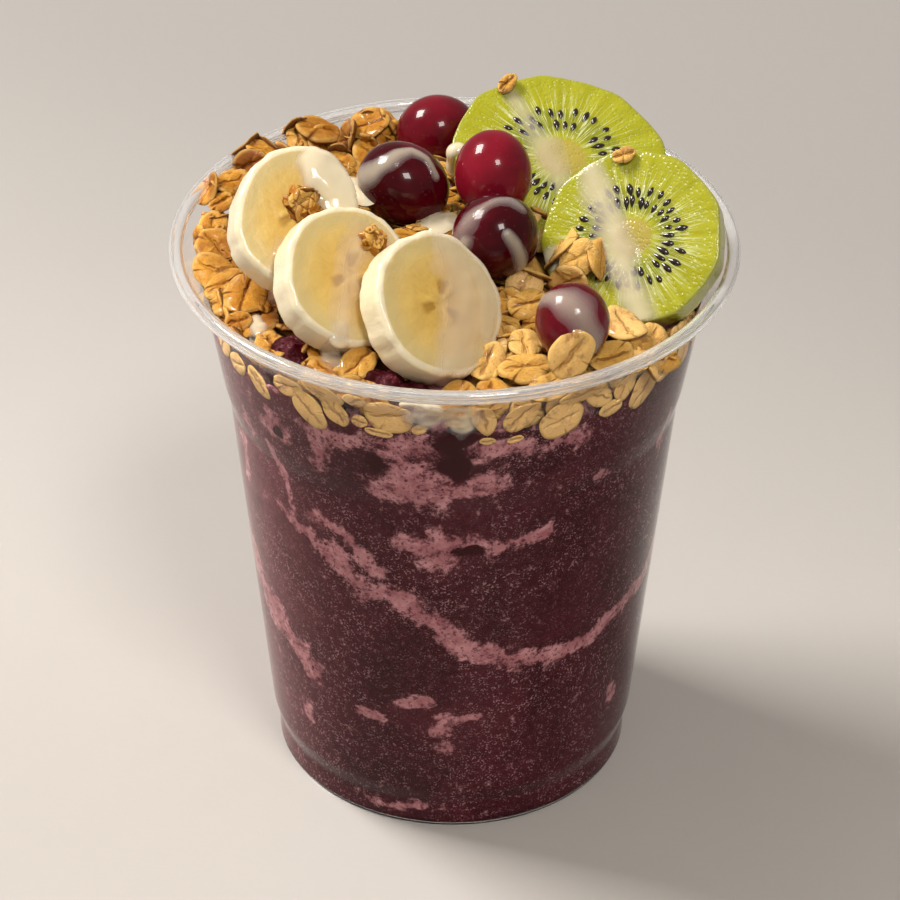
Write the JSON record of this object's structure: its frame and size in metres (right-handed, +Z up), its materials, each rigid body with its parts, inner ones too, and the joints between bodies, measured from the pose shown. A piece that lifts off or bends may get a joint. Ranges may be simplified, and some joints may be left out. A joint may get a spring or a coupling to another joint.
{
  "type": "acai cup",
  "caption": "Clear tapered cold cup full of frozen acai blend, heaped with granola, sliced banana, sliced kiwi and whole grapes.",
  "frame": {"origin": "middle of the cup's foot, on the surface that it stands on", "axes": "+Z up along the cup's axis, -Y towards the front, where the banana slices lie, and +X to the right, where the kiwi leans on the rim"},
  "size_m": [0.098, 0.098, 0.1225],
  "materials": {
    "clear_plastic": "clear, thin and glossy",
    "acai_blend": "frozen, dark purple with pale ice specks and pink marbling",
    "toasted_granola": "toasted rolled oats with a thin honey glaze",
    "banana_flesh": "moist, cream rim and darker yellow middle",
    "kiwi_flesh": "wet, with a pale core, rays and black seeds",
    "grape_skin": "glossy dark red skin",
    "condensed_milk": "glossy, poured, slightly see-through cream"
  },
  "bodies": {
    "root": {"cup": "clear_plastic", "acai": "acai_blend", "granola": "toasted_granola", "banana_1": "banana_flesh", "banana_2": "banana_flesh", "banana_3": "banana_flesh", "kiwi_1": "kiwi_flesh", "kiwi_2": "kiwi_flesh", "grape_1": "grape_skin", "grape_2": "grape_skin", "grape_3": "grape_skin", "grape_4": "grape_skin", "grape_5": "grape_skin"}
  },
  "joints": []
}
